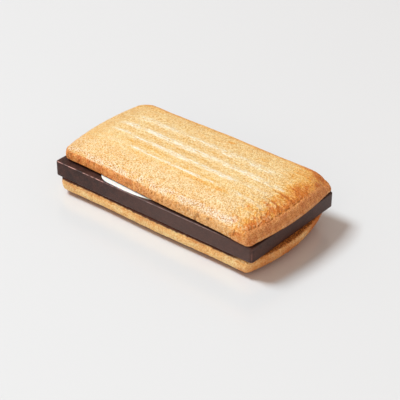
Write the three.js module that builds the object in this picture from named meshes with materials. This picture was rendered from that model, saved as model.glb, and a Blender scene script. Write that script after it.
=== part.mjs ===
// A sandwich biscuit: a flat slab of dark chocolate and a thin bed of white cream
// between two butter biscuits, which lie with their domed faces outwards.
// Millimetres, +Z up. The pieces are laid out from the middle of the slab's underside,
// and the finished group stands on z = 0 with its middle over the origin.

import * as THREE from 'three';

// The slab
const slabLength = 70.3;
const slabWidth = 36.3;
const slabThickness = 4.56;
const slabCornerRadius = 1.1;
const slabEdgeRounding = 0.3;

// The cream bed, as thick as the gap that it fills
const creamThickness = 0.45;
const creamInset = 3.4;
const creamEdgeBulge = 0.2;
const creamLobe = { from: -20.3, fullFrom: -16.9, fullTo: -5.4, to: 1.6, reach: 4.6 };

// The low ridges along the domed face of each biscuit
const ridgeCentres = [-7.55, -2.95, 1.95, 7.35];
const ridgeHeight = 0.28;
const ridgeHalfWidth = 1.5;
const ridgeFrom = -30;
const ridgeTo = 27;

// Each biscuit is laid by its centre and a slight turn. Its ends bow out at the middle,
// and skew sets their back corners further to the left than their front ones.
const topBiscuit = {
  centre: [0.3, 0.9],
  turn: THREE.MathUtils.degToRad(-1.6),
  halfLength: 34.4,
  halfWidth: 18.25,
  widening: 0.03,
  leftEnd: { bow: 2.1, skew: -0.4 },
  rightEnd: { bow: 2.0, skew: -0.4 },
  wave: 0.16,
  corners: { frontLeft: 2.2, frontRight: 1.9, backRight: 1.5, backLeft: 3.6 },
  wallHeight: { frontLeft: 2.9, frontRight: 3.7, backRight: 3.9, backLeft: 3.9 },
  lowCorner: { x: 35, y: 18.6, depth: 2.6, spread: 3.2 },
  endLean: 1.3,
  crown: 5.8,
  flatAt: Infinity,
  cells: [44, 30],
};

const bottomBiscuit = {
  centre: [-0.3, -0.4],
  turn: 0,
  halfLength: 33.8,
  halfWidth: 17.8,
  widening: 0,
  leftEnd: { bow: 1.6, skew: -0.2 },
  rightEnd: { bow: 3.4, skew: -0.7 },
  wave: 0.14,
  corners: { frontLeft: 2.4, frontRight: 1.9, backRight: 2.6, backLeft: 3.2 },
  wallHeight: { frontLeft: 4.2, frontRight: 4.2, backRight: 2.7, backLeft: 3.3 },
  lowCorner: { x: 34, y: 18, depth: 0, spread: 6 },
  endLean: 0.4,
  crown: 5.8,
  flatAt: 5.4,
  cells: [32, 22],
};

// The side of a biscuit from its flat base to the shoulder:
// how far each step stands in from the rim, and its share of the wall's height.
const wallSteps = [
  { inset: 0.3, rise: 0.0 },
  { inset: 0.08, rise: 0.07 },
  { inset: 0.0, rise: 0.3 },
  { inset: 0.08, rise: 0.7 },
  { inset: 0.42, rise: 0.92 },
  { inset: 1.15, rise: 1.06 },
];

const smooth = THREE.MathUtils.smoothstep;

// Values from -1 to 1 that lie closer together towards both ends.
function gridLine(cells) {
  const crowding = 0.4;
  return Array.from({ length: cells + 1 }, (_, i) => {
    const s = (2 * i) / cells - 1;
    return (1 - crowding) * s + crowding * Math.sin((s * Math.PI) / 2);
  });
}

// The border of a grid of cells, counter-clockwise from its first corner, as [column, row].
function borderCells(columns, rows) {
  const border = [];
  for (let i = 0; i < columns; i++) border.push([i, 0]);
  for (let j = 0; j < rows; j++) border.push([columns, j]);
  for (let i = columns; i > 0; i--) border.push([i, rows]);
  for (let j = rows; j > 0; j--) border.push([0, j]);
  return border;
}

// The value at (p, q), each from -1 to 1, between four values set at the corners.
function blendCorners(corners, p, q) {
  const front = THREE.MathUtils.lerp(corners.frontLeft, corners.frontRight, (p + 1) / 2);
  const back = THREE.MathUtils.lerp(corners.backLeft, corners.backRight, (p + 1) / 2);
  return THREE.MathUtils.lerp(front, back, (q + 1) / 2);
}

// The radius of the corner on the same side as (p, q).
function cornerRadius(corners, p, q) {
  if (q < 0) return p < 0 ? corners.frontLeft : corners.frontRight;
  return p < 0 ? corners.backLeft : corners.backRight;
}

// A point of a rectangle's border, carried on to the arc where the corner is rounded off.
function roundCorner(x, y, halfX, halfY, radius) {
  const overX = Math.abs(x) - (halfX - radius);
  const overY = Math.abs(y) - (halfY - radius);
  if (overX <= 0 || overY <= 0) return [x, y];
  const angle = ((overY - overX + radius) / (2 * radius)) * (Math.PI / 2);
  return [
    Math.sign(x) * (halfX - radius + radius * Math.cos(angle)),
    Math.sign(y) * (halfY - radius + radius * Math.sin(angle)),
  ];
}

// A point of the plan. (u, v) runs over the square from -1 to 1, whose border becomes the rim:
// its corners are rounded off, the ends bow outwards, and the long sides waver a little.
function planPoint(plan, u, v, inset) {
  const { halfLength, halfWidth } = plan;
  const ring = Math.max(Math.abs(u), Math.abs(v), 1e-6);
  const [rimX, rimY] = [(u / ring) * halfLength, (v / ring) * halfWidth];
  const radius = cornerRadius(plan.corners, u, v);
  const [roundX, roundY] = roundCorner(rimX, rimY, halfLength, halfWidth, radius);
  const nearRim = ring ** 6;
  const { bow, skew } = u < 0 ? plan.leftEnd : plan.rightEnd;
  const ending = bow * u * Math.abs(u) * (1 - v ** 2) + skew * v * u ** 2;
  const waver = plan.wave * Math.sin(5.3 * u + 2 * Math.sign(v)) * v ** 8;
  const x = u * halfLength + nearRim * (roundX - rimX) + ending;
  const y = (v * halfWidth + nearRim * (roundY - rimY)) * (1 + plan.widening * u) + waver;
  return [x * (1 - inset / halfLength), y * (1 - inset / halfWidth)];
}

// The height of the side wall near a point, lowest at the one thin corner.
function wallHeight(plan, x, y) {
  const even = blendCorners(plan.wallHeight, x / plan.halfLength, y / plan.halfWidth);
  const { depth, spread } = plan.lowCorner;
  const distance = Math.hypot(x - plan.lowCorner.x, y - plan.lowCorner.y);
  return even - depth * Math.exp(-0.5 * (distance / spread) ** 2);
}

// How far the right end leans in at a share of the wall's height.
function leanAt(plan, x, rise) {
  return plan.endLean * Math.min(rise, 1) * smooth(x, 0.8 * plan.halfLength, plan.halfLength);
}

// The low ridges that the dough is pressed with, along the domed face.
function ridgeRelief(x, y) {
  const lengthwise = smooth(x, ridgeFrom, ridgeFrom + 6) * (1 - smooth(x, ridgeTo - 6, ridgeTo));
  const nearest = Math.min(...ridgeCentres.map((centre) => Math.abs(y - centre)));
  return ridgeHeight * lengthwise * (1 - smooth(nearest, 0, ridgeHalfWidth));
}

// The height of the domed face over the plan, from the shoulder at |u| or |v| = 1 up to the crown.
function domeHeight(plan, u, v, x, y) {
  const shoulder = wallHeight(plan, x, y) * wallSteps.at(-1).rise;
  const dome = (1 - Math.abs(u) ** 7) ** 0.8 * (1 - Math.abs(v) ** 2.6) ** 0.8;
  const height = THREE.MathUtils.lerp(shoulder, plan.crown, dome) + ridgeRelief(x, y) * dome;
  return Math.min(height, plan.flatAt);
}

// A closed shell round a list of [x, y, z] corners and a list of triangles that face outwards.
function shell(corners, triangles) {
  const geometry = new THREE.BufferGeometry();
  geometry.setAttribute('position', new THREE.Float32BufferAttribute(corners.flat(), 3));
  geometry.setIndex(triangles.flat());
  geometry.computeVertexNormals();
  return geometry;
}

// The bands of triangles between rings of equal length, each ring above the last.
function ringBands(ringStarts, length) {
  const triangles = [];
  for (let r = 0; r + 1 < ringStarts.length; r++) {
    for (let k = 0; k < length; k++) {
      const next = (k + 1) % length;
      const [a, b] = [ringStarts[r] + k, ringStarts[r] + next];
      const [d, c] = [ringStarts[r + 1] + k, ringStarts[r + 1] + next];
      triangles.push([a, b, c], [a, c, d]);
    }
  }
  return triangles;
}

// A fan from one corner to each side of a ring.
function fan(middle, ringStart, length, facesUp) {
  return Array.from({ length }, (_, k) => {
    const [here, next] = [ringStart + k, ringStart + ((k + 1) % length)];
    return facesUp ? [middle, here, next] : [middle, next, here];
  });
}

// One biscuit, base at z = 0 and crown upwards: a flat base, the wall's rings, then the domed face as a grid.
function biscuitGeometry(plan) {
  const [columns, rows] = plan.cells;
  const [us, vs] = [gridLine(columns), gridLine(rows)];
  const border = borderCells(columns, rows);
  const corners = [];
  const ringStarts = [];
  const shoulderInset = wallSteps.at(-1).inset;

  for (const { inset, rise } of wallSteps) {
    ringStarts.push(corners.length);
    for (const [i, j] of border) {
      const [x, y] = planPoint(plan, us[i], vs[j], inset);
      corners.push([x - leanAt(plan, x, rise), y, wallHeight(plan, x, y) * rise]);
    }
  }

  const cornerAt = new Map(border.map(([i, j], k) => [`${i},${j}`, ringStarts.at(-1) + k]));
  for (let i = 1; i < columns; i++) {
    for (let j = 1; j < rows; j++) {
      const [x, y] = planPoint(plan, us[i], vs[j], shoulderInset);
      cornerAt.set(`${i},${j}`, corners.length);
      corners.push([x - leanAt(plan, x, 1), y, domeHeight(plan, us[i], vs[j], x, y)]);
    }
  }

  const baseMiddle = corners.length;
  corners.push([0, 0, 0]);
  const triangles = ringBands(ringStarts, border.length);
  triangles.push(...fan(baseMiddle, ringStarts[0], border.length, false));
  for (let i = 0; i < columns; i++) {
    for (let j = 0; j < rows; j++) {
      const [a, b] = [cornerAt.get(`${i},${j}`), cornerAt.get(`${i + 1},${j}`)];
      const [d, c] = [cornerAt.get(`${i},${j + 1}`), cornerAt.get(`${i + 1},${j + 1}`)];
      const splitsToCorner = (2 * i + 1 - columns) * (2 * j + 1 - rows) > 0;
      if (splitsToCorner) triangles.push([a, b, c], [a, c, d]);
      else triangles.push([a, b, d], [b, c, d]);
    }
  }
  return shell(corners, triangles);
}

// Turned over, a biscuit keeps its front to the front: only its heights change sign.
function turnOver(geometry) {
  geometry.scale(1, 1, -1);
  const index = geometry.getIndex().array;
  for (let k = 0; k < index.length; k += 3) [index[k], index[k + 1]] = [index[k + 1], index[k]];
  return geometry;
}

function layBiscuit(plan, geometry, z) {
  geometry.rotateZ(plan.turn);
  geometry.translate(plan.centre[0], plan.centre[1], z);
  geometry.computeVertexNormals();
  return geometry;
}

// The slab: a cast bar with upright sides, tight corners and slightly rounded edges.
function slabGeometry() {
  const halfX = slabLength / 2 - slabEdgeRounding;
  const halfY = slabWidth / 2 - slabEdgeRounding;
  const radius = slabCornerRadius - slabEdgeRounding;
  const outline = new THREE.Shape();
  outline.absarc(halfX - radius, -halfY + radius, radius, -Math.PI / 2, 0);
  outline.absarc(halfX - radius, halfY - radius, radius, 0, Math.PI / 2);
  outline.absarc(-halfX + radius, halfY - radius, radius, Math.PI / 2, Math.PI);
  outline.absarc(-halfX + radius, -halfY + radius, radius, Math.PI, 1.5 * Math.PI);
  outline.closePath();
  const geometry = new THREE.ExtrudeGeometry(outline, {
    depth: slabThickness - 2 * slabEdgeRounding,
    bevelThickness: slabEdgeRounding,
    bevelSize: slabEdgeRounding,
    bevelSegments: 3,
    curveSegments: 5,
    steps: 1,
  });
  return geometry.translate(0, 0, slabEdgeRounding);
}

// How far the squeezed-out lobe stands in front of the bed.
function creamLobeAt(x) {
  const { from, fullFrom, fullTo, to, reach } = creamLobe;
  return reach * Math.sqrt(smooth(x, from, fullFrom) * (1 - smooth(x, fullTo, to)));
}

// The cream bed: it follows the top biscuit a little way in,
// and one lobe is squeezed out at the front as far as the slab's edge.
function creamGeometry() {
  const plan = { ...topBiscuit, wave: 0.5 };
  const [columns, rows] = [64, 14];
  const [us, vs] = [gridLine(columns), gridLine(rows)];
  const border = borderCells(columns, rows);
  const corners = [];
  const ringStarts = [];
  for (const rise of [0, 0.5, 1]) {
    const outset = creamEdgeBulge * Math.sin(rise * Math.PI);
    ringStarts.push(corners.length);
    for (const [i, j] of border) {
      const [x, y] = planPoint(plan, us[i], vs[j], creamInset - outset);
      const lobe = vs[j] === -1 ? creamLobeAt(x) : 0;
      corners.push([x, y - lobe, creamThickness * rise]);
    }
  }
  const [under, over] = [corners.length, corners.length + 1];
  corners.push([0, 0, 0], [0, 0, creamThickness]);
  const triangles = ringBands(ringStarts, border.length);
  triangles.push(...fan(under, ringStarts[0], border.length, false));
  triangles.push(...fan(over, ringStarts.at(-1), border.length, true));
  return shell(corners, triangles);
}

function finish(color, roughness) {
  return new THREE.MeshStandardMaterial({ color, roughness, metalness: 0 });
}

function piece(name, geometry, material) {
  const mesh = new THREE.Mesh(geometry, material);
  mesh.name = name;
  return mesh;
}

const sandwich = new THREE.Group();
const topBase = slabThickness + creamThickness;

sandwich.add(
  piece(
    'bottom_biscuit',
    layBiscuit(bottomBiscuit, turnOver(biscuitGeometry(bottomBiscuit)), 0),
    finish(0xe3ac6b, 0.75),
  ),
  piece('chocolate_slab', slabGeometry(), finish(0x4b3734, 0.35)),
  piece('cream', layBiscuit(topBiscuit, creamGeometry(), slabThickness), finish(0xfaf5f0, 0.4)),
  piece('top_biscuit', layBiscuit(topBiscuit, biscuitGeometry(topBiscuit), topBase), finish(0xe1b46e, 0.45)),
);

const reach = new THREE.Box3().setFromObject(sandwich);
const middle = reach.getCenter(new THREE.Vector3());
sandwich.position.set(-middle.x, -middle.y, -reach.min.z);

export default sandwich;
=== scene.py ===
import math

import bpy
import numpy as np
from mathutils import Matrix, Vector, noise


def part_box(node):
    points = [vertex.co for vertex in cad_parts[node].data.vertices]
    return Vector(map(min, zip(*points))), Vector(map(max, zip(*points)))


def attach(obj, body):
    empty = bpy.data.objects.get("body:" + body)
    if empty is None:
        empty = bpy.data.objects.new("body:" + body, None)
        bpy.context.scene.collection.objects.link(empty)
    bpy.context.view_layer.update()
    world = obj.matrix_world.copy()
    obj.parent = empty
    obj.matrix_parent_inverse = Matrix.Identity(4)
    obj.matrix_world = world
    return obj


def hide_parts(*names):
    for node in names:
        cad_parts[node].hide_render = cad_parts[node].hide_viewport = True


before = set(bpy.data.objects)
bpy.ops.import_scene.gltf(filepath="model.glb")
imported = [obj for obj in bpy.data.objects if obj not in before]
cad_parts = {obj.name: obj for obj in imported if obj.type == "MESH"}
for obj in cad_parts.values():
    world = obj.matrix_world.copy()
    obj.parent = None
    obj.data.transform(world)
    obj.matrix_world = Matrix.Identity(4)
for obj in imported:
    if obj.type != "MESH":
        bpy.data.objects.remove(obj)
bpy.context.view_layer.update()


# ---------------------------------------------------------------------------------------
# The lower biscuit is butter dough, baked pale and dry with a fine sandy grain. It lies
# with its domed, ridged face down, so the flat side that lay on the baking sheet, which
# is browner, carries the slab and shows as a narrow ledge past the slab's right end.

MM = 0.001

slab_low, slab_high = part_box("chocolate_slab")
slab_middle = (slab_low + slab_high) / 2 / MM

# Both biscuits are formed with the base down, in mm: x along the length, y towards the
# back and z up. Low ridges run along the domed face and fade out near both ends.
ridge_centres = (-7.55, -2.95, 1.95, 7.35)
ridge_height = 0.1
ridge_half_width = 1.5
ridge_from, ridge_to = -30, 27
ridge_fade = 6

# The higher its power, the further out the dome stays flat. It is rounder across.
dome_power_along, dome_power_across = 7, 2.6
dome_rim_power = 0.8

# The side of a biscuit, from the shoulder at 0 down to the base's edge at 1:
# how far it stands in from the rim, and its share of the wall's height.
side_at = np.array((0, 0.22, 0.45, 0.72, 0.9, 1))
side_inset = np.array((1.15, 0.42, 0.08, 0, 0.12, 0.5))
side_rise = np.array((1.06, 0.92, 0.7, 0.32, 0.1, 0))

# A biscuit's plan, in mm. It widens to the right. An end has its bow and its skew. Corner
# radii and side heights go round from the front left. The thin corner is at the back right,
# and only the top biscuit has one. The right end leans in, from a share of the half length
# on. The dome rises to the crown, and is cut flat where the lower biscuit rests on it.
thin_corner_at = (35, 18.6)
thin_corner_spread = 3.2
lean_from = 0.8
lower_plan = {
    "centre": (-0.35, -0.4),
    "turn": 0,
    "half_length": 33.95,
    "half_width": 17.8,
    "widening": 0,
    "left_end": (1.6, -0.2),
    "right_end": (3.4, -0.45),
    "waver": 0.14,
    "corners": (2.4, 0.9, 2.6, 3.2),
    "side_heights": (4.2, 4.2, 2.7, 3.3),
    "thin_corner": 0,
    "end_lean": 0.4,
    "crown": 5.8,
    "flat_at": 5.4,
}


def smooth(value, low, high):
    """0 below low, 1 above high, and a soft rise between them."""
    share = np.clip((value - low) / (high - low), 0, 1)
    return share * share * (3 - 2 * share)


def band(value, middle, half_width):
    """1 in the middle of a band, falling off softly to 0 at its edges."""
    return 1 - smooth(abs(value - middle), 0, half_width)


def through(positions, values, at):
    """A smooth curve through a few values."""
    slopes = np.gradient(values, positions)
    k = np.clip(np.searchsorted(positions, at) - 1, 0, len(positions) - 2)
    span = positions[k + 1] - positions[k]
    t = np.clip((at - positions[k]) / span, 0, 1)
    start = (1 - t) ** 2 * ((1 + 2 * t) * values[k] + t * span * slopes[k])
    return start + t**2 * ((3 - 2 * t) * values[k + 1] + (t - 1) * span * slopes[k + 1])


def by_corner(values, u, v):
    """The value of the nearest corner, from front left round to back left."""
    front = np.where(u < 0, values[0], values[1])
    return np.where(v < 0, front, np.where(u < 0, values[3], values[2]))


def round_cornered(u, v, half_x, half_y, radius, rim_power):
    """A square of points stretched to a plan with round corners. Only points near the rim move in."""
    ring = np.maximum(np.maximum(abs(u), abs(v)), 1e-6)
    rim_x, rim_y = u / ring * half_x, v / ring * half_y
    over_x = abs(rim_x) - half_x + radius
    over_y = abs(rim_y) - half_y + radius
    angle = (over_y - over_x + radius) / (2 * radius) * math.pi / 2
    turns = (over_x > 0) & (over_y > 0)
    round_x = np.where(turns, np.sign(u) * (half_x - radius + radius * np.cos(angle)), rim_x)
    round_y = np.where(turns, np.sign(v) * (half_y - radius + radius * np.sin(angle)), rim_y)
    near_rim = ring**rim_power
    return u * half_x + near_rim * (round_x - rim_x), v * half_y + near_rim * (round_y - rim_y)


def plan_point(plan, u, v, inset):
    """A point of a biscuit's plan: round corners, bowed ends and long sides that waver a little."""
    half_length, half_width = plan["half_length"], plan["half_width"]
    radius = by_corner(plan["corners"], u, v)
    x, y = round_cornered(u, v, half_length, half_width, radius, rim_power=6)
    bow = np.where(u < 0, plan["left_end"][0], plan["right_end"][0])
    skew = np.where(u < 0, plan["left_end"][1], plan["right_end"][1])
    x = x + bow * u * abs(u) * (1 - v**2) + skew * v * u**2
    # The waver is unlike on the front and the back, and dies out away from them.
    waver = plan["waver"] * np.sin(5.3 * u + 2 * np.sign(v)) * v**8
    y = y * (1 + plan["widening"] * u) + waver
    return x * (1 - inset / half_length), y * (1 - inset / half_width)


def side_height(plan, x, y):
    """The height of the side near a point, evened out between the four corners."""
    front_left, front_right, back_right, back_left = plan["side_heights"]
    p = (x / plan["half_length"] + 1) / 2
    q = (y / plan["half_width"] + 1) / 2
    front = (1 - p) * front_left + p * front_right
    back = (1 - p) * back_left + p * back_right
    from_corner = np.hypot(x - thin_corner_at[0], y - thin_corner_at[1])
    thinner = plan["thin_corner"] * np.exp(-0.5 * (from_corner / thin_corner_spread) ** 2)
    return (1 - q) * front + q * back - thinner


def biscuit_form(plan, u, v, w):
    """The skin of a biscuit. w is 0 on the domed face, 0 to 1 down the side, and 1 to 2 under it."""
    inset = through(side_at, side_inset, np.minimum(w, 1))
    rise = through(side_at, side_rise, np.minimum(w, 1))
    x, y = plan_point(plan, u, v, inset)
    height = side_height(plan, x, y)
    fade_in = smooth(x, ridge_from, ridge_from + ridge_fade)
    fade_out = smooth(x, ridge_to - ridge_fade, ridge_to)
    lengthwise = fade_in * (1 - fade_out)
    ridges = ridge_height * lengthwise * sum(band(y, centre, ridge_half_width) for centre in ridge_centres)
    dome_along = np.maximum(1 - abs(u) ** dome_power_along, 0) ** dome_rim_power
    dome_across = np.maximum(1 - abs(v) ** dome_power_across, 0) ** dome_rim_power
    dome = dome_along * dome_across
    shoulder = height * side_rise[0]
    face = np.minimum(shoulder + (plan["crown"] - shoulder) * dome + ridges * dome, plan["flat_at"])
    z = np.where(w == 0, face, height * rise)
    at_right_end = smooth(x, lean_from * plan["half_length"], plan["half_length"])
    lean = plan["end_lean"] * np.minimum(rise, 1) * at_right_end
    return np.stack([x - lean, y, z], -1)


def skin(columns, rows, side_rings, under_rings):
    """A closed skin over a square: a grid for the face, and rings down the side and in under the base."""
    u, v = np.meshgrid(np.linspace(-1, 1, columns + 1), np.linspace(-1, 1, rows + 1), indexing="ij")
    grid = np.arange(u.size).reshape(u.shape)
    quads = np.stack([grid[:-1, :-1], grid[1:, :-1], grid[1:, 1:], grid[:-1, 1:]], -1).reshape(-1, 4)
    border = np.concatenate([grid[:-1, 0], grid[-1, :-1], grid[:0:-1, -1], grid[0, :0:-1]])
    rim_u, rim_v = u.ravel()[border], v.ravel()[border]
    parts = [np.stack([u.ravel(), v.ravel(), np.zeros(u.size)], -1)]
    # The rings under the base crowd towards its edge.
    crowding = 1.6
    depths = [k / side_rings for k in range(1, side_rings + 1)]
    depths += [1 + (k / (under_rings + 1)) ** crowding for k in range(1, under_rings + 1)]
    faces = quads.tolist()
    above = border
    start = u.size
    for depth in depths:
        closing = min(1, 2 - depth)
        parts.append(np.stack([rim_u * closing, rim_v * closing, np.full(border.size, depth)], -1))
        below = np.arange(start, start + border.size)
        sides = np.stack([below, np.roll(below, -1), np.roll(above, -1), above], -1)
        faces += sides.tolist()
        above = below
        start += border.size
    parts.append(np.array([[0, 0, 2]]))
    faces += [[start, after, here] for here, after in zip(above.tolist(), np.roll(above, -1).tolist())]
    return np.concatenate(parts), faces


def lumps(places, width, octaves=2):
    """Soft unevenness from about -1 to 1, with lumps of the given width in mm along x, y and z.

    A number added to the places gives another unevenness of the same kind.
    """
    # Each octave is twice as fine as the one before it and half as strong.
    weaker, finer = 1, 2
    scaled = (places / np.array(width)).tolist()
    return np.array([noise.fractal(place, weaker, finer, octaves) for place in scaled])


def pinholes(places, spacing, share):
    """1 in the middle of a pinhole and 0 outside it. Only a share of the spots has one."""
    # A hole's width, and whether it is there, come from numbers that its own spot gives.
    usual_width, spread = 0.25, 0.2
    depths = []
    for place in (places / spacing).tolist():
        distances, spots = noise.voronoi(place)
        width = usual_width + spread * noise.cell(spots[0] * 31)
        here = noise.cell(spots[0] * 57) < 2 * share - 1
        depths.append(max(0, 1 - (distances[0] / width) ** 2) if here else 0)
    return np.array(depths)


def make_piece(name, places, faces, relief, looks):
    """A mesh from places in mm, its relief raised along the surface, and its looks as attributes."""
    mesh = bpy.data.meshes.new(name)
    mesh.from_pydata((places * MM).tolist(), [], faces)
    normals = np.empty(places.size)
    mesh.vertices.foreach_get("normal", normals)
    raised = places + normals.reshape(-1, 3) * relief[:, None]
    mesh.vertices.foreach_set("co", (raised * MM).ravel())
    for look, values in looks.items():
        mesh.attributes.new(look, "FLOAT", "POINT").data.foreach_set("value", values)
    mesh.shade_smooth()
    mesh.update()
    piece = bpy.data.objects.new(name, mesh)
    bpy.context.scene.collection.objects.link(piece)
    return piece


def lay(plan, places, base):
    """Places of a biscuit's own frame, turned and set down on the slab's middle at a height in mm."""
    turn = plan["turn"]
    x = places[:, 0] * math.cos(turn) - places[:, 1] * math.sin(turn) + plan["centre"][0] + slab_middle.x
    y = places[:, 0] * math.sin(turn) + places[:, 1] * math.cos(turn) + plan["centre"][1] + slab_middle.y
    return np.stack([x, y, places[:, 2] + base], -1)


def paint(red, green, blue):
    """A colour given as on a screen, from 0 to 255."""
    shares = [part / 255 for part in (red, green, blue)]
    linear = [part / 12.92 if part <= 0.04045 else ((part + 0.055) / 1.055) ** 2.4 for part in shares]
    return (*linear, 1)


class Wire:
    """A socket of a material, or with no socket the sheet that the material is wired on.

    Arithmetic on wires adds Math nodes, and node() adds any other.
    """

    def __init__(self, tree, socket=None):
        self.tree = tree
        self.socket = socket

    def node(self, kind, settings, inputs, output=0):
        made = self.tree.nodes.new(kind)
        for setting, value in settings.items():
            setattr(made, setting, value)
        for name, value in inputs.items():
            if isinstance(value, Wire):
                self.tree.links.new(value.socket, made.inputs[name])
            else:
                made.inputs[name].default_value = value
        return Wire(self.tree, made.outputs[output])

    def math(self, operation, *values, clamp=False):
        settings = {"operation": operation, "use_clamp": clamp}
        return self.node("ShaderNodeMath", settings, dict(enumerate(values)))

    def __add__(self, other):
        return self.math("ADD", self, other)

    def __sub__(self, other):
        return self.math("SUBTRACT", self, other)

    def __rsub__(self, other):
        return self.math("SUBTRACT", other, self)

    def __mul__(self, other):
        return self.math("MULTIPLY", self, other)

    __radd__ = __add__
    __rmul__ = __mul__

    def between(self, low, high):
        """0 below low, 1 above high, and an even rise between them."""
        return self.math("DIVIDE", self - low, high - low, clamp=True)

    def look(self, name):
        """One of the mesh's looks, by its name."""
        return self.node("ShaderNodeAttribute", {"attribute_name": name}, {}, "Fac")

    def stretched(self, x, y, z):
        """The place on the object in mm, multiplied along each axis."""
        place = self.node("ShaderNodeTexCoord", {}, {}, "Object")
        scale = (x / MM, y / MM, z / MM)
        return self.node("ShaderNodeVectorMath", {"operation": "MULTIPLY"}, {0: place, 1: scale})

    def grain(self, place, detail=2, roughness=0.5):
        """Fine unevenness around 0.5, one lump to each unit of the place."""
        inputs = {"Vector": place, "Scale": 1, "Detail": detail, "Roughness": roughness}
        return self.node("ShaderNodeTexNoise", {}, inputs, "Fac")

    def mix(self, share, first, second, way="MIX"):
        """Two colours mixed. The Mix node's sockets 0, 6 and 7 are its share and its colours."""
        settings = {"data_type": "RGBA", "blend_type": way}
        return self.node("ShaderNodeMix", settings, {0: share, 6: first, 7: second}, 2)

    def bump(self, height, depth_mm):
        return self.node("ShaderNodeBump", {}, {"Height": height, "Distance": depth_mm * MM})


def new_material(name, **even):
    """A material with its even values set, the sheet to wire it on, and its shader's sockets."""
    material = bpy.data.materials.new(name)
    material.use_nodes = True
    shader = material.node_tree.nodes["Principled BSDF"]
    for socket, value in even.items():
        shader.inputs[socket.replace("_", " ")].default_value = value
    return material, Wire(material.node_tree), shader.inputs


def connect(sheet, inputs, **wires):
    """Link what varies over a surface to the shader."""
    for socket, wire in wires.items():
        sheet.tree.links.new(wire.socket, inputs[socket.replace("_", " ")])


def pale_crumb():
    """Dry golden crumb: sandy grain, faint clouds of browning, a browner baked side and a painted shadow
    line.
    """
    light_crumb, golden_crumb = paint(255, 221, 154), paint(255, 202, 124)
    mottled, browned = paint(234, 150, 72), paint(212, 118, 38)
    pale_grain, dark_grain = paint(255, 230, 178), paint(224, 206, 180)
    sheet_dark, sheet_light = paint(122, 60, 18), paint(222, 136, 60)
    hole, shade_paint = paint(168, 96, 42), paint(74, 32, 10)

    material, sheet, inputs = new_material("pale_crumb", IOR=1.4)
    clouds = sheet.grain(sheet.stretched(0.25, 0.25, 0.5), 3)
    mottle = sheet.grain(sheet.stretched(0.8, 0.8, 0.6), 3, 0.6)
    sand = sheet.grain(sheet.stretched(3, 3, 3), 2, 0.6)
    browning = sheet.look("browning")
    crumb = sheet.mix(clouds.between(0.4, 0.6), light_crumb, golden_crumb)
    crumb = sheet.mix(mottle.between(0.5, 0.66) * 0.5, crumb, mottled)
    crumb = sheet.mix(browning, crumb, browned)
    pale_specks = sand.between(0.5, 0.62) * (1 - browning * 0.75) * 0.6
    crumb = sheet.mix(pale_specks, crumb, pale_grain)
    crumb = sheet.mix((1 - sand).between(0.5, 0.62) * 0.8, crumb, dark_grain, "MULTIPLY")
    baked = sheet.mix(sand.between(0.4, 0.6), sheet_dark, sheet_light)
    crumb = sheet.mix(sheet.look("baked_side"), crumb, baked)
    crumb = sheet.mix(sheet.look("pit"), crumb, hole)
    # Painted shadow: a near black line just under the slab.
    crumb = sheet.mix(sheet.look("painted_shade"), crumb, shade_paint)
    connect(sheet, inputs, Base_Color=crumb, Roughness=0.82 - sand * 0.2, Normal=sheet.bump(sand, 0.26))
    return material


lower_skin, lower_faces = skin(columns=300, rows=104, side_rings=24, under_rings=14)
u, v, w = lower_skin.T
upright = biscuit_form(lower_plan, u, v, w)
x, y, z = upright.T
lower_side = smooth(w, 0, 0.1) * (1 - smooth(w, 0.97, 1.02))
lower_end = smooth(x, 28, 36)
lower_grains = lumps(upright, (0.75, 0.75, 0.75), 3)
lower_holes = pinholes(upright, 0.9, 0.3) * (w < 1.3)

# The relief, in mm: sandy grain, broad unevenness, pinholes, and upright marks on the side.
lower_relief = 0.07 * lower_grains + 0.05 * lumps(upright + 40, (4, 4, 3)) - 0.1 * lower_holes
lower_relief += 0.05 * lower_side * lumps(upright + 90, (0.6, 0.6, 2.4))

# The edge of the flat side is ragged, most of all at the right end. The relief stays
# above what the biscuit rests on, and its flat side leaves the slab a hair of room.
lower_relief *= 1 + (1.2 + 4 * lower_end) * band(w, 1, 0.15)
lower_relief = np.minimum(lower_relief, lower_plan["flat_at"] - z)
lower_relief = np.where(w > 1, -abs(lower_relief), lower_relief)
room_for_slab = 0.02
lower_places = lay(lower_plan, upright * (1, 1, -1), slab_low.z / MM)
lower_places[:, 2] -= room_for_slab * (w > 1)

# The domed face, now the foot, is browner, and so is the right end. Painted shade darkens
# the side close under the slab, and a painted shadow line runs round just under the slab,
# but not at the right end.
foot = 1 - smooth(w, 0.12, 0.3)
end_browning = 0.55 + 0.2 * (1 - smooth(w, 0.5, 0.8)) + 0.3 * smooth(y, -4, 10)
lower_browning = 0.5 * lumps(upright + 15, (6, 6, 6)) + 0.4 * band(w, 0.76, 0.14) * (1 - lower_end)
lower_browning += 0.8 * foot * (1 - 0.6 * lower_end) + 0.1 * smooth(-x, 8, 24) + lower_end * end_browning
shadow_line = smooth(w + 0.04 * lumps(upright + 7, (1, 1, 1), 3), 0.81, 0.87)
lower_biscuit = make_piece(
    "lower_biscuit",
    lower_places,
    [face[::-1] for face in lower_faces],
    lower_relief,
    {
        # The flat side is baked browner. Where this colour reaches over the top of the side, under the slab,
        # it is painted shade.
        "baked_side": smooth(w, 0.93, 0.99),
        "painted_shade": shadow_line * (1 - lower_end) * (w < 1.05),
        "browning": np.clip(lower_browning, 0, 1),
        "pit": np.clip(0.6 * lower_holes - 0.5 * lower_grains - 0.15, 0, 0.8),
    },
)
lower_biscuit.data.materials.append(pale_crumb())
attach(lower_biscuit, "root")
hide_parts("bottom_biscuit")


# ---------------------------------------------------------------------------------------
# The slab is a bar of dark chocolate cast in a mould: flat faces, upright sides, tight
# corners and edges that are only just rounded. It carries a soft sheen. Its colour turns a
# little greyer and lighter towards its right, less so on its right end.

slab_edge = 0.3
slab_corner = 0.8
slab_half_x = (slab_high.x - slab_low.x) / 2 / MM
slab_half_y = (slab_high.y - slab_low.y) / 2 / MM
slab_thickness = (slab_high.z - slab_low.z) / MM


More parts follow.
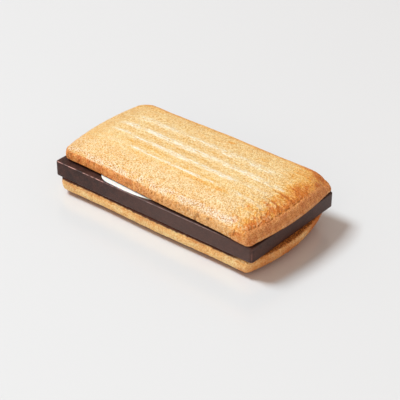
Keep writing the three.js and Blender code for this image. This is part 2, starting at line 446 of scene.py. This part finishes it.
def slab_form(u, v, w):
    """The skin of the slab, base down, with its middle over the origin."""
    # w runs down the side from 0 to 1, and a share at each end of it rounds the edge there.
    edge_share = 0.2
    to_edge = np.minimum(w / edge_share, (1 - w) / edge_share)
    turn = np.clip(to_edge, 0, 1) * math.pi / 2
    inset = slab_edge * (1 - np.sin(turn))
    over = slab_edge * (1 - np.cos(turn))
    climb = np.clip((1 - edge_share - w) / (1 - 2 * edge_share), 0, 1)
    upright_z = slab_edge + (slab_thickness - 2 * slab_edge) * climb
    z = np.where(w > 1 - edge_share, over, upright_z)
    z = np.where(w < edge_share, slab_thickness - over, z)
    x, y = round_cornered(u, v, slab_half_x, slab_half_y, slab_corner, rim_power=30)
    return np.stack([x * (1 - inset / slab_half_x), y * (1 - inset / slab_half_y), z], -1)


def dark_chocolate():
    """Dark chocolate with a soft sheen: faint clouds, a greyer tone to the right, fine scuffs and painted
    edge highlights.
    """
    deep_brown, warm_brown = paint(43, 23, 18), paint(66, 36, 28)
    greyish_brown, pale_highlight, dusty = paint(98, 74, 68), paint(206, 150, 138), paint(112, 84, 78)

    material, sheet, inputs = new_material("dark_chocolate", IOR=1.3)
    clouds = sheet.grain(sheet.stretched(0.45, 0.45, 0.55), 5, 0.7)
    scuffs = sheet.grain(sheet.stretched(0.9, 0.9, 5), 3, 0.6)
    pale_speckle = sheet.grain(sheet.stretched(4, 4, 4), 2)
    brown = sheet.mix(clouds.between(0.42, 0.58), deep_brown, warm_brown)
    brown = sheet.mix(sheet.look("greyer_to_right"), brown, greyish_brown)
    # Painted highlights along two edges.
    brown = sheet.mix(sheet.look("painted_edge_highlight"), brown, pale_highlight)
    brown = sheet.mix(pale_speckle.between(0.5, 0.66) * 0.35, brown, dusty)
    normal = sheet.bump(scuffs + pale_speckle * 0.5, 0.03)
    connect(sheet, inputs, Base_Color=brown, Roughness=0.3 + scuffs * 0.2, Normal=normal)
    return material


slab_skin, slab_faces = skin(columns=180, rows=94, side_rings=30, under_rings=8)
u, v, w = slab_skin.T
slab_local = slab_form(u, v, w)
slab_x, slab_y = slab_local[:, 0], slab_local[:, 1]
slab_relief = 0.03 * lumps(slab_local, (9, 9, 5)) + 0.008 * lumps(slab_local, (1.2, 1.2, 1.2))
slab_relief = np.where((w < 0.15) | (w > 0.85), -abs(slab_relief), slab_relief)

# Painted highlights on two edges: the top front edge, most of all to the left, and the upright
# edge at the front right, which is where x less y is greatest.
upright_edge_at = 52.85
front_edge_highlight = band(w, 0.07, 0.07) * (slab_y < -17) * (0.25 + smooth(-slab_x, 8, 22))
upright_edge_highlight = 0.25 * band(slab_x - slab_y, upright_edge_at, 0.1)
highlight_patches = np.clip(0.55 + 2 * lumps(slab_local, (1.4, 1, 1)), 0, 1)
chocolate = make_piece(
    "chocolate_bar",
    slab_local + (slab_middle.x, slab_middle.y, slab_low.z / MM),
    slab_faces,
    slab_relief,
    {
        # Greyer and lighter towards the right, less so on the right end's face.
        "greyer_to_right": 0.55 * smooth(slab_x, -30, 10) - smooth(slab_x, 34, 35) * 0.3,
        "painted_edge_highlight": highlight_patches * np.maximum(front_edge_highlight, upright_edge_highlight),
    },
)
chocolate.data.materials.append(dark_chocolate())
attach(chocolate, "root")
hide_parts("chocolate_slab")


# ---------------------------------------------------------------------------------------
# The cream is a thin bed of white filling, spread on the slab and pressed flat by the top
# biscuit. Where it was spread thickest it has squeezed out at the front as one smooth lobe
# that reaches the slab's edge.

top_plan = {
    "centre": (0.3, 0.9),
    "turn": math.radians(-1.6),
    "half_length": 34.4,
    "half_width": 18.25,
    "widening": 0.03,
    "left_end": (2.1, -0.4),
    "right_end": (2.0, -0.4),
    "waver": 0.16,
    "corners": (2.2, 1.3, 1.5, 3.6),
    "side_heights": (2.9, 3.7, 3.9, 3.9),
    "thin_corner": 2.6,
    "end_lean": 1.3,
    "crown": 5.8,
    "flat_at": math.inf,
}
cream_low, cream_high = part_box("cream")
cream_inset = 3.4
cream_thickness = (cream_high.z - cream_low.z) / MM
cream_bulge = 0.22
lobe_left, lobe_peak, lobe_right = -20.3, -15.2, 2.2
lobe_depth = 4.6


def cream_lobe(x):
    """How far the lobe stands in front of the bed: blunt on its left, drawn out on its right."""
    reach = np.where(x < lobe_peak, lobe_peak - lobe_left, lobe_right - lobe_peak)
    return lobe_depth * np.sqrt(np.clip(1 - ((x - lobe_peak) / reach) ** 2, 0, 1))


def white_cream():
    """Smooth white filling with a soft shine."""
    material, sheet, inputs = new_material(
        "white_cream", Roughness=0.28, IOR=1.45, Subsurface_Weight=0.25, Subsurface_Scale=0.6 * MM
    )
    swirl = sheet.grain(sheet.stretched(0.5, 1.2, 1.5), 3)
    colour = sheet.mix(swirl.between(0.3, 0.7), paint(233, 231, 228), paint(226, 223, 219))
    connect(sheet, inputs, Base_Color=colour, Normal=sheet.bump(swirl, 0.12))
    return material


cream_skin, cream_faces = skin(columns=180, rows=60, side_rings=12, under_rings=8)
u, v, w = cream_skin.T
cream_x, cream_y = plan_point({**top_plan, "waver": 0.5}, u, v, cream_inset)
round_side = np.clip(w, 0, 1) * math.pi
at_front = (v == -1) & (w <= 1)
cream_y -= at_front * (cream_lobe(cream_x) + cream_bulge * np.sin(round_side))
cream_z = cream_thickness * np.where(w <= 1, (1 + np.cos(round_side)) / 2, 0)
cream = make_piece(
    "cream_bed",
    lay(top_plan, np.stack([cream_x, cream_y, cream_z], -1), cream_low.z / MM),
    cream_faces,
    np.zeros(u.size),
    {},
)
cream.data.materials.append(white_cream())
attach(cream, "root")
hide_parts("cream")


# ---------------------------------------------------------------------------------------
# The top biscuit is the same butter dough, pressed with four ridges whose crests are rubbed
# pale and carry painted highlights, and baked golden with browner rims and a wrinkled, darker
# right end. Its side is rougher, more orange and cracked. It sits a little turned on the cream
# that holds it.


def golden_crust():
    """Baked crust: gold, pale ridges, amber grooves, browned rims, specks, pits, an orange side, and painted
    highlights and shade.
    """
    light_gold, deep_gold = paint(255, 216, 145), paint(253, 200, 118)
    drawn_dark, drawn_pale = paint(236, 180, 90), paint(250, 226, 174)
    ridge_pale, crest_highlight, groove_amber = paint(255, 242, 214), paint(255, 254, 248), paint(244, 180, 62)
    first_brown, mid_brown = paint(253, 188, 74), paint(250, 160, 38)
    deep_brown, darkest_brown = paint(234, 136, 18), paint(224, 124, 14)
    light_orange, deep_orange = paint(253, 171, 90), paint(229, 135, 60)
    crumb_and_highlight_pale, glint_pale, between_glints_dark = paint(255, 222, 180), paint(255, 240, 230), paint(200, 134, 86)
    pale_grain, dark_grain = paint(255, 236, 192), paint(221, 202, 166)
    pale_grit, dark_grit = paint(255, 234, 186), paint(232, 218, 198)
    hole, shade_paint = paint(152, 88, 18), paint(52, 22, 8)

    material, sheet, inputs = new_material("golden_crust", IOR=1.42)
    clouds = sheet.grain(sheet.stretched(0.3, 0.4, 0.4), 4, 0.6)
    fibres = sheet.grain(sheet.stretched(0.3, 2.4, 1), 4, 0.65)
    sand = sheet.grain(sheet.stretched(3.2, 3.2, 3.2), 2, 0.6)
    grit = sheet.grain(sheet.stretched(1.8, 1.3, 1.8), 2, 0.6)
    mottle = sheet.grain(sheet.stretched(0.7, 0.7, 0.5), 3, 0.6)
    side = sheet.look("side")
    browning = sheet.look("browning")
    ridge = sheet.look("pale_lit_ridge")
    drawn = sheet.look("streaky")
    painted_glints = sheet.look("painted_glints")
    coarse = sheet.look("coarse")

    # The face: clouds of gold, drawn out along the biscuit, with its ridges rubbed pale and given
    # painted highlights on their crests, and amber grooves that are partly painted shade.
    gold = sheet.mix(clouds.between(0.38, 0.62), light_gold, deep_gold)
    gold = sheet.mix(drawn * fibres.between(0.5, 0.64) * 0.7, gold, drawn_dark)
    gold = sheet.mix(drawn * (1 - fibres).between(0.52, 0.64) * 0.7, gold, drawn_pale)
    pale_highlight = fibres + sand * 0.7
    gold = sheet.mix(ridge * pale_highlight.between(0.68, 0.88), gold, ridge_pale)
    gold = sheet.mix(ridge.between(0.6, 1) * pale_highlight.between(0.8, 0.9) * 0.8, gold, crest_highlight)
    gold = sheet.mix(sheet.look("amber_shaded_groove") * fibres.between(0.3, 0.52), gold, groove_amber)

    # Browning takes the gold to a warmer one first, and then to browns.
    browned = sheet.mix(clouds.between(0.35, 0.65), mid_brown, deep_brown)
    browned = sheet.mix(browning.between(0.75, 1), browned, darkest_brown)
    gold = sheet.mix(browning.between(0, 0.5), gold, first_brown)
    gold = sheet.mix(browning.between(0.35, 1), gold, browned)

    # The side; the crumb that shows at wrinkles, with a painted highlight low on the side;
    # painted highlight glints on the front shoulder; and the specks of all of them.
    orange = sheet.mix(mottle.between(0.38, 0.62), light_orange, deep_orange)
    crust = sheet.mix(side, gold, orange)
    crust = sheet.mix(sheet.look("pale_crumb"), crust, crumb_and_highlight_pale)
    crust = sheet.mix(painted_glints * sand.between(0.47, 0.54), crust, glint_pale)
    crust = sheet.mix(painted_glints * (1 - sand).between(0.53, 0.59) * 0.7, crust, between_glints_dark)
    plain = 1 - sheet.math("MAXIMUM", side, browning) * 0.85
    crust = sheet.mix(sand.between(0.51, 0.6) * plain * 0.6, crust, pale_grain)
    dark_specks = (1 - sand).between(0.51, 0.59) * (1 - ridge * 0.6) * coarse
    crust = sheet.mix(dark_specks, crust, dark_grain, "MULTIPLY")
    crust = sheet.mix(grit.between(0.52, 0.6) * plain * coarse * 0.4, crust, pale_grit)
    crust = sheet.mix((1 - grit).between(0.52, 0.6) * coarse * 0.55, crust, dark_grit, "MULTIPLY")
    crust = sheet.mix(sheet.look("pit"), crust, hole)
    # Painted shade: near black low on the side and under the base, over the slab.
    crust = sheet.mix(sheet.look("painted_shade"), crust, shade_paint)
    rough = 0.28 + sand * 0.2 + side * 0.3
    connect(sheet, inputs, Base_Color=crust, Roughness=rough, Normal=sheet.bump(sand, 0.5))
    return material


top_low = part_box("top_biscuit")[0]
top_skin, top_faces = skin(columns=330, rows=172, side_rings=22, under_rings=8)
u, v, w = top_skin.T
form = biscuit_form(top_plan, u, v, w)

# Towards the right corner the foot of the front side sags a little over the slab.
sag = 0.3 * smooth(form[:, 0], 22, 32) * smooth(-form[:, 1], 15.2, 17.6)
form[:, 2] -= sag * smooth(w, 0.3, 1)
x, y, z = form.T

# Where the face, the side and the right end's side are, and five kinds of unevenness:
# broad, drawn out along the biscuit, sandy, patchy, and short breaks.
on_face = 1 - smooth(w, 0, 0.2)
on_side = smooth(w, 0.06, 0.26) * (w <= 1)
end_wall = smooth(x, 31.5, 34.5)
uneven = lumps(form, (7, 3, 3))
streaky = lumps(form + 20, (7, 0.6, 2), 3)
sand = lumps(form + 33, (0.55, 0.55, 0.55), 2)
patchy = lumps(form + 47, (3.4, 2.6, 2.5), 3)
broken = lumps(form + 27, (1.3, 0.5, 2), 2)

# Streaks along the face: y, half width, x of both ends, and strength. Each ridge has its
# own width and stretch and is rubbed pale with a painted highlight, and the grooves beside it
# are amber, partly as painted shade.
pale_streaks = (
    (7.35, 2.0, -30, 26, 0.8),
    (1.95, 1.7, -31, 32, 1.25),
    (-2.95, 1.3, -23, 20, 1.25),
    (-2.3, 1.1, -31, -19, 1.1),
    (-2.5, 1.4, 17, 32, 0.6),
    (-7.5, 0.6, -16, 17, 2),
    (-7.2, 0.5, -19, -8, 2.2),
    (-7.8, 0.45, -8, 1, 2.2),
    (-7.9, 0.45, 0, 13, 2.2),
    (-7.6, 1.6, -31, -8, 0.3),
    (-7.6, 1.4, 16, 34, 0.9),
)
amber_streaks = (
    (4.55, 1.2, -13, 7, 0.5),
    (-0.2, 0.6, -18, 8, 1.1),
    (-5.0, 1.1, -24, -2, 0.6),
    (-8.8, 0.9, 1, 21, 3),
    (-6.2, 0.9, -4, 17, 0.6),
)
# Thin dark furrows where the crust split along the right end.
furrow_streaks = (
    (0.6, 0.6, 25, 37, 1.8),
    (-3.8, 0.55, 27, 38, 1.8),
    (4.8, 0.4, 28, 38, 0.9),
)
# Spots that baked darker: x, y, half length, half width and strength.
brown_spots = (
    (26.6, -10, 1.8, 1.1, 0.9),
    (30.8, 4.5, 3.4, 2.0, 0.5),
    (2, 13.3, 1.8, 0.9, 0.6),
    (-26.5, 14.3, 1.8, 0.9, 0.5),
    (16, 11.5, 2.6, 1.2, 0.35),
    (9, -8.7, 3.2, 0.8, 0.6),
    (16, -8.7, 2.6, 0.8, 0.6),
    (0.5, -10.6, 1.2, 0.9, 0.3),
)


def drawn_streaks(marks, waver):
    """Streaks along x that waver, fade towards their ends and come and go."""
    fade_in, fade_out = 6, 5
    drawn = 0
    for across, half_width, left, right, strength in marks:
        along = smooth(x, left, left + fade_in) * (1 - smooth(x, right - fade_out, right))
        drawn = drawn + strength * along * band(y + waver * streaky * half_width, across, half_width)
    return on_face * np.clip(drawn * (1 + 1.4 * streaky + 1.1 * broken), 0, 1)


pale_and_lit = drawn_streaks(pale_streaks, 0.4)
amber_and_shaded = drawn_streaks(amber_streaks, 0.3)
furrows = drawn_streaks(furrow_streaks, 0.3)
spots = sum(
    strength * band(np.hypot((x - at_x) / long, (y - at_y) / wide) + 0.9 * patchy, 0, 1)
    for at_x, at_y, long, wide, strength in brown_spots
)

# The front part of the right end is wrinkled. One long fold runs across it with pits along
# its left side, and short wrinkles slant over the rest.
fold_line = x - 27 + 0.5 * (y + 1) + 1.6 * uneven + 2 * sand
fold_reach = on_face * smooth(-y, -1, 2) * (1 - smooth(-y, 10, 13))
fold = band(fold_line, 0, 0.45) * fold_reach
fold_pits = band(fold_line, -0.8, 1.2) * fold_reach
fold_pits *= np.clip(4 * lumps(form + 95, (0.4, 0.4, 0.4), 1) - 0.8, 0, 1)
wrinkle_zone = on_face * smooth(x, 19, 27) * (1 - smooth(x, 33, 34.5)) * (1 - smooth(y, -8, 0))
slant_cos, slant_sin = 0.77, 0.64
slanted = np.stack([slant_cos * x + slant_sin * y, slant_sin * x - slant_cos * y, z], -1)
wrinkles = np.clip(1 - abs(lumps(slanted + 60, (1, 2.8, 2), 2)) * 5, 0, 1)
wrinkles *= wrinkle_zone * smooth(lumps(form + 71, (2.5, 2.5, 2.5)), -0.25, 0.05)
wrinkles = np.maximum(0.9 * wrinkles, fold * np.clip(0.9 + 2 * streaky, 0, 1))

# Pinholes are all over. Cracks run over the sides, some of them upright, and a broken
# crease runs along the top of the right end's side.
holes = pinholes(form, 0.8, 0.3) * (w <= 1)
cracks = np.clip(-2 * lumps(form + 8, (0.55, 0.55, 1.4), 3) - 0.6, 0, 1)
cracks += np.clip(-3 * lumps(form + 80, (0.9, 0.9, 5), 2) - 1.5, 0, 1)
cracks *= on_side * (1 - 0.9 * end_wall)
crease = band(w + 0.04 * uneven, 0.13, 0.07) * end_wall
crease *= np.clip(5 * lumps(form + 5, (0.6, 0.6, 0.6), 2) + 0.1, 0, 1)

# The front shoulder is browner and grainy, with painted highlight glints and darker specks
# between them, and the front of the face has a few painted glints too.
front_shoulder = band(y, -16.6, 3) * (1 - smooth(w, 0.06, 0.22)) * (1 - smooth(x, 30, 33))
pale_speckle = band(y, -16.8, 3) * (1 - smooth(x, 26, 31)) * (1 - smooth(w, 0.08, 0.24))
pale_speckle *= (0.85 + 0.3 * smooth(x, 0, 20)) * np.clip(1 + 1.5 * patchy, 0, 1)
pale_speckle = np.maximum(pale_speckle, 0.32 * smooth(-y, 7, 12) * on_face * (1 - smooth(x, 22, 30)))

# The relief, in mm. The base stays flat.
relief = 0.05 * sand + 0.07 * uneven * on_face + 0.04 * patchy
relief += on_face * 0.05 * streaky * (abs(x) < 30) + 0.04 * pale_and_lit - 0.06 * amber_and_shaded
relief -= 0.04 * holes + 0.25 * crease + 0.14 * cracks + 0.1 * furrows + 0.15 * fold_pits
relief += 0.15 * wrinkles + 0.26 * wrinkle_zone * lumps(slanted + 66, (0.9, 2.4, 2), 2)
relief = np.where(w > 1, 0, relief)

# Browning: the spots, the back and left rims, and the right end, where it starts further
# in towards the back. It is patchy along the front and among the wrinkles.
back = smooth(y, 4, 15)
end_line = x + 1.6 * patchy + 2.2 * streaky + smooth(-y, 8, 12)
baked_end = smooth(end_line, 27 - 7 * back, 33.5 + 3.5 * back)
rim = np.maximum(1.5 * smooth(v, 0.86, 1), 0.5 * smooth(-u, 0.8, 1))
front_patches = 0.07 + 0.07 * smooth(x, 8, 20) + 0.66 * lumps(form + 64, (3, 2, 2), 2)
wrinkle_patches = np.clip(0.4 + 2.5 * lumps(slanted + 52, (1.6, 2.4, 2), 2), 0, 1)
browning = spots + on_face * rim * (0.45 + 0.2 * uneven) + baked_end * (1 + 0.4 * patchy)
browning += 0.15 * front_shoulder + 0.1 * smooth(y, 9, 15) * on_face + 0.8 * furrows
browning += on_face * smooth(-y, 5, 9) * np.clip(front_patches, 0, 0.25)
browning += 0.12 * wrinkle_zone * (1 - smooth(-y, 11, 14)) * wrinkle_patches
browning *= (1 - 0.5 * wrinkles) * (1 - 0.6 * pale_and_lit)

# The side turns from orange towards gold to the right, but not on the right end, and a
# painted highlight runs low along its right part as a pale band. The middle of the face looks
# drawn out along the biscuit. Its specks are fine around the front ridges and coarse elsewhere.
side = on_side * (1 - 0.5 * smooth(x, -20, 25) * (1 - end_wall))
to_right = smooth(x, 0, 20)
drawn_out = on_face * (1 - smooth(abs(y - 2 * to_right), 6, 11 + 5 * to_right))
pits = 0.15 * holes + 0.8 * cracks + crease + 0.2 * furrows + 0.4 * fold_pits + 0.15 * smooth(-x, 26, 33)
rim_highlight = 0.4 * smooth(x, 10, 28) * band(w, 0.79, 0.06) * np.clip(0.8 + 2 * patchy, 0, 1)
crumb_and_highlight = rim_highlight + 0.75 * wrinkles + 0.1 * end_wall * on_side
coarse = 1 - 0.4 * band(y, -7, 10) * (1 - smooth(x, 12, 22))
coarse += 0.1 * smooth(x, 20, 30) + 0.1 * smooth(y, 8, 14)
top_biscuit = make_piece(
    "ridged_top_biscuit",
    lay(top_plan, form, top_low.z / MM),
    top_faces,
    relief,
    {
        "side": side,
        "streaky": drawn_out,
        "pale_lit_ridge": pale_and_lit,
        "amber_shaded_groove": amber_and_shaded,
        # Under the base the crust is browner and pitted. Together with the low part of the side, it is
        # painted near black with shade where it hangs over the slab.
        "browning": np.where(w > 1, 1, np.clip(browning, 0, 1)),
        "pit": np.where(w > 1, 0.7, np.clip(pits, 0, 1)),
        "pale_crumb": np.clip(crumb_and_highlight, 0, 1),
        "painted_shade": smooth(w, 0.87, 0.96),
        "painted_glints": pale_speckle,
        "coarse": coarse,
    },
)
top_biscuit.data.materials.append(golden_crust())
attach(top_biscuit, "root")
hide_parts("top_biscuit")


# ---------------------------------------------------------------------------------------
# The studio is a plain pale floor in a warm white room. A cool soft box stands high on the
# left and a little to the front, and a wide, weak and warm one fills in from the front
# right. The camera looks down on the front right corner.

floor_half = 1.5
floor_corners = [
    (-floor_half, -floor_half, 0),
    (floor_half, -floor_half, 0),
    (floor_half, floor_half, 0),
    (-floor_half, floor_half, 0),
]
floor_mesh = bpy.data.meshes.new("floor")
floor_mesh.from_pydata(floor_corners, [], [(0, 1, 2, 3)])
floor = bpy.data.objects.new("floor", floor_mesh)
bpy.context.scene.collection.objects.link(floor)
pale_floor = new_material("pale_floor", Base_Color=paint(214, 213, 213), Roughness=0.2, IOR=1.7)[0]
floor_mesh.materials.append(pale_floor)

room = bpy.data.worlds.new("white_room")
room.use_nodes = True
room_light = room.node_tree.nodes["Background"].inputs
room_light["Color"].default_value = (1, 0.83, 0.74, 1)
room_light["Strength"].default_value = 0.5
bpy.context.scene.world = room

middle = slab_middle * MM


def soft_light(name, towards, distance, size, power, colour):
    """A square soft box, aimed at the biscuit from the given direction."""
    lamp = bpy.data.lights.new(name, "AREA")
    lamp.shape = "SQUARE"
    lamp.size = size
    lamp.energy = power
    lamp.color = colour
    holder = bpy.data.objects.new(name, lamp)
    direction = Vector(towards).normalized()
    holder.location = middle + direction * distance
    holder.rotation_euler = direction.to_track_quat("Z", "Y").to_euler()
    bpy.context.scene.collection.objects.link(holder)


soft_light("key", (-0.61, -0.23, 1), distance=2.4, size=0.75, power=66, colour=(0.81, 0.935, 1))
soft_light("fill", (0.5, -0.8, 0.35), distance=1.8, size=1.8, power=9, colour=(1, 0.87, 0.7))

camera_turn = math.radians(39.56)
camera_rise = math.radians(31.98)
camera_distance = 0.35
aim_right, aim_front = 5.20, 2.63
backwards = Vector((
    math.sin(camera_turn) * math.cos(camera_rise),
    -math.cos(camera_turn) * math.cos(camera_rise),
    math.sin(camera_rise),
))
aim = Vector((slab_middle.x + aim_right, slab_middle.y - aim_front, slab_low.z / MM)) * MM
lens = bpy.data.cameras.new("camera")
lens.sensor_width = 36
lens.lens = 114.1
camera = bpy.data.objects.new("camera", lens)
camera.location = aim + backwards * camera_distance
camera.rotation_euler = backwards.to_track_quat("Z", "Y").to_euler()
bpy.context.scene.collection.objects.link(camera)
bpy.context.scene.camera = camera
bpy.context.scene.view_settings.view_transform = "Standard"

bpy.context.view_layer.update()
